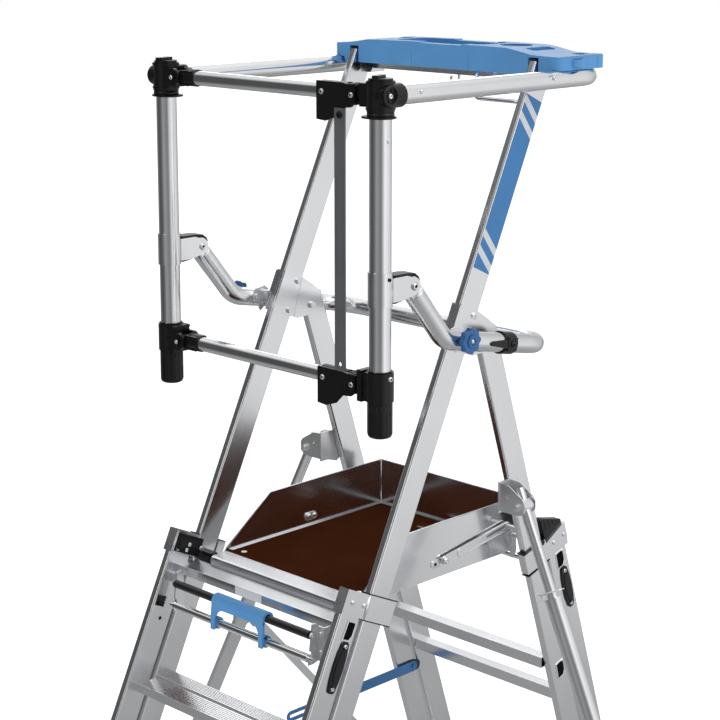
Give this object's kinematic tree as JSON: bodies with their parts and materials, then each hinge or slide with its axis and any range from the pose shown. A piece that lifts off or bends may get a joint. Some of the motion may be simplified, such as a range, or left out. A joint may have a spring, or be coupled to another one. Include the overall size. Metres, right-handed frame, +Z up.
{
  "type": "platform step ladder",
  "caption": "Folding platform step ladder with a guard cage, lifting gate, toe boards, sliding leg sections and side stabilisers.",
  "frame": {"origin": "centre of the footprint, on the floor under the feet", "axes": "+Z is up, +Y points away from the person climbing, +X is to that person's right"},
  "size_m": [1.9096, 1.5902, 2.183],
  "materials": {
    "aluminium": "mill-finish extruded aluminium, fine lines along the profile",
    "tube_aluminium": "smooth anodised round tube",
    "zinc_steel": "zinc-plated pressed steel",
    "grey_steel": "flat bar, mid grey",
    "chrome_rod": "bright round rod",
    "black_plastic": "moulded black plastic, slightly glossy",
    "black_rubber": "ribbed black rubber",
    "black_rod": "black sleeve over a rod",
    "blue_plastic": "moulded mid-blue plastic",
    "blue_strap": "dark blue painted strip",
    "brown_board": "film-faced plywood, dark brown, non-slip"
  },
  "bodies": {
    "front_frame": {"uprights": "aluminium", "upright_plugs": "black_plastic", "upper_treads": "aluminium", "hinge_plates": "zinc_steel", "hinge_bolts": "zinc_steel", "rail_hooks": "zinc_steel", "platform_bearings": "black_plastic", "guard_posts": "tube_aluminium", "bottom_fittings": "black_plastic", "top_fittings": "black_plastic", "post_sleeves": "tube_aluminium", "sleeve_inserts": "black_plastic", "top_bow": "tube_aluminium", "knee_bow": "tube_aluminium", "rail_saddles": "black_plastic", "tray": "blue_plastic", "tray_bar": "aluminium"},
    "front_section": {"front_stiles": "aluminium", "front_treads": "aluminium", "front_guides": "aluminium", "front_liners": "black_plastic", "front_covers": "black_plastic", "front_feet": "black_rubber", "front_grip_rod": "black_rod", "front_grip_brackets": "zinc_steel"},
    "front_release": {"front_release_rod": "chrome_rod", "front_handle": "blue_plastic"},
    "rear_frame": {"rear_stiles": "aluminium", "rear_plugs": "black_plastic", "rear_crossbars": "aluminium", "stabiliser_brackets": "zinc_steel", "stay_pins": "zinc_steel"},
    "rear_section": {"rear_lower_stiles": "aluminium", "rear_lower_crossbars": "aluminium", "rear_guides": "aluminium", "rear_liners": "black_plastic", "rear_covers": "black_plastic", "rear_feet": "black_rubber", "rear_grip_rod": "black_rod", "rear_grip_brackets": "zinc_steel"},
    "rear_release": {"rear_release_rod": "chrome_rod"},
    "platform": {"toe_boards": "aluminium", "deck_board": "brown_board", "platform_profile": "aluminium", "platform_pins": "zinc_steel"},
    "stays": {"stay_links": "zinc_steel"},
    "gate_top": {"gate_top_tube": "tube_aluminium", "gate_top_ends": "black_plastic"},
    "gate_low": {"gate_low_tube": "tube_aluminium", "gate_low_ends": "black_plastic"},
    "gate_bar": {"gate_drop_bar": "grey_steel"},
    "knob_l": {"knob_left": "blue_plastic"},
    "knob_r": {"knob_right": "blue_plastic"},
    "stabiliser_l": {"stab_tube_left": "tube_aluminium"},
    "stabiliser_r": {"stab_tube_right": "tube_aluminium"},
    "leg_l": {"stab_leg_left": "tube_aluminium"},
    "leg_r": {"stab_leg_right": "tube_aluminium"},
    "strut_l": {"strut_left": "zinc_steel"},
    "strut_r": {"strut_right": "zinc_steel"},
    "strap": {"spreader_strap": "blue_strap"}
  },
  "joints": [
    {"name": "front_section_slide", "type": "slide", "parent": "front_frame", "child": "front_section", "axis": [0, -0.4258, -0.9048], "range_m": [0, 0.75]},
    {"name": "front_release_pull", "type": "slide", "parent": "front_section", "child": "front_release", "axis": [0, 0.0846, 0.9964], "range_m": [0, 0.01], "stiffness_N_per_m": 900},
    {"name": "rear_frame_fold", "type": "hinge", "parent": "front_frame", "child": "rear_frame", "pos_m": [0, 0.15718, 1.63087], "axis": [-1, 0, 0], "range_deg": [0, 43]},
    {"name": "rear_section_slide", "type": "slide", "parent": "rear_frame", "child": "rear_section", "axis": [0, 0.3067, -0.9518], "range_m": [0, 0.75]},
    {"name": "rear_release_pull", "type": "slide", "parent": "rear_section", "child": "rear_release", "axis": [0, -0.3067, 0.9518], "range_m": [0, 0.01], "stiffness_N_per_m": 900},
    {"name": "platform_fold", "type": "hinge", "parent": "front_frame", "child": "platform", "pos_m": [0, -0.14596, 1.155], "axis": [1, 0, 0], "range_deg": [0, 64.8]},
    {"name": "stay_turn", "type": "hinge", "parent": "platform", "child": "stays", "pos_m": [0, 0.10504, 1.1855], "axis": [-1, 0, 0], "range_deg": [0, 151]},
    {"name": "gate_lift", "type": "hinge", "parent": "front_frame", "child": "gate_top", "pos_m": [-0.246, -0.17596, 2.1293], "axis": [0, -1, 0], "range_deg": [0, 75]},
    {"name": "gate_low_turn", "type": "hinge", "parent": "front_frame", "child": "gate_low", "pos_m": [-0.246, -0.17596, 1.6065], "axis": [0, -1, 0], "range_deg": [0, 75]},
    {"name": "gate_bar_turn", "type": "hinge", "parent": "gate_top", "child": "gate_bar", "pos_m": [0.2125, -0.19696, 2.0913], "axis": [0, 1, 0], "range_deg": [0, 75]},
    {"name": "knob_left_turn", "type": "hinge", "parent": "front_frame", "child": "knob_l", "pos_m": [-0.32, 0.03194, 1.6623], "axis": [-1, 0, 0], "continuous": true},
    {"name": "knob_right_turn", "type": "hinge", "parent": "front_frame", "child": "knob_r", "pos_m": [0.32, 0.03194, 1.6623], "axis": [1, 0, 0], "continuous": true},
    {"name": "stabiliser_left_swing", "type": "hinge", "parent": "rear_frame", "child": "stabiliser_l", "pos_m": [-0.302, 0.22244, 1.295], "axis": [0, -0.9994, 0.034], "range_deg": [0, 25]},
    {"name": "stabiliser_right_swing", "type": "hinge", "parent": "rear_frame", "child": "stabiliser_r", "pos_m": [0.302, 0.22244, 1.295], "axis": [0, 0.9994, -0.034], "range_deg": [0, 25]},
    {"name": "leg_left_slide", "type": "slide", "parent": "stabiliser_l", "child": "leg_l", "axis": [-0.4363, -0.0306, -0.8993], "range_m": [0, 0.4]},
    {"name": "leg_right_slide", "type": "slide", "parent": "stabiliser_r", "child": "leg_r", "axis": [0.4363, -0.0306, -0.8993], "range_m": [0, 0.4]},
    {"name": "strut_left_turn", "type": "hinge", "parent": "rear_frame", "child": "strut_l", "pos_m": [-0.2615, 0.70404, 0.19], "axis": [0, -1, 0], "range_deg": [0, 17.8]},
    {"name": "strut_right_turn", "type": "hinge", "parent": "rear_frame", "child": "strut_r", "pos_m": [0.2615, 0.70404, 0.19], "axis": [0, 1, 0], "range_deg": [0, 17.8]},
    {"name": "strap_turn", "type": "hinge", "parent": "rear_frame", "child": "strap", "pos_m": [-0.23, 0.47664, 0.725], "axis": [1, 0, 0], "range_deg": [0, 107]}
  ],
  "couplings": [
    {"joint": "platform_fold", "follows": "rear_frame_fold", "ratio": 1.5},
    {"joint": "stay_turn", "follows": "rear_frame_fold", "ratio": 3.497},
    {"joint": "strap_turn", "follows": "rear_frame_fold", "ratio": 2.48},
    {"joint": "gate_low_turn", "follows": "gate_lift", "ratio": 1},
    {"joint": "gate_bar_turn", "follows": "gate_lift", "ratio": 1},
    {"joint": "strut_left_turn", "follows": "stabiliser_left_swing", "ratio": 0.711},
    {"joint": "strut_right_turn", "follows": "stabiliser_right_swing", "ratio": 0.711}
  ]
}
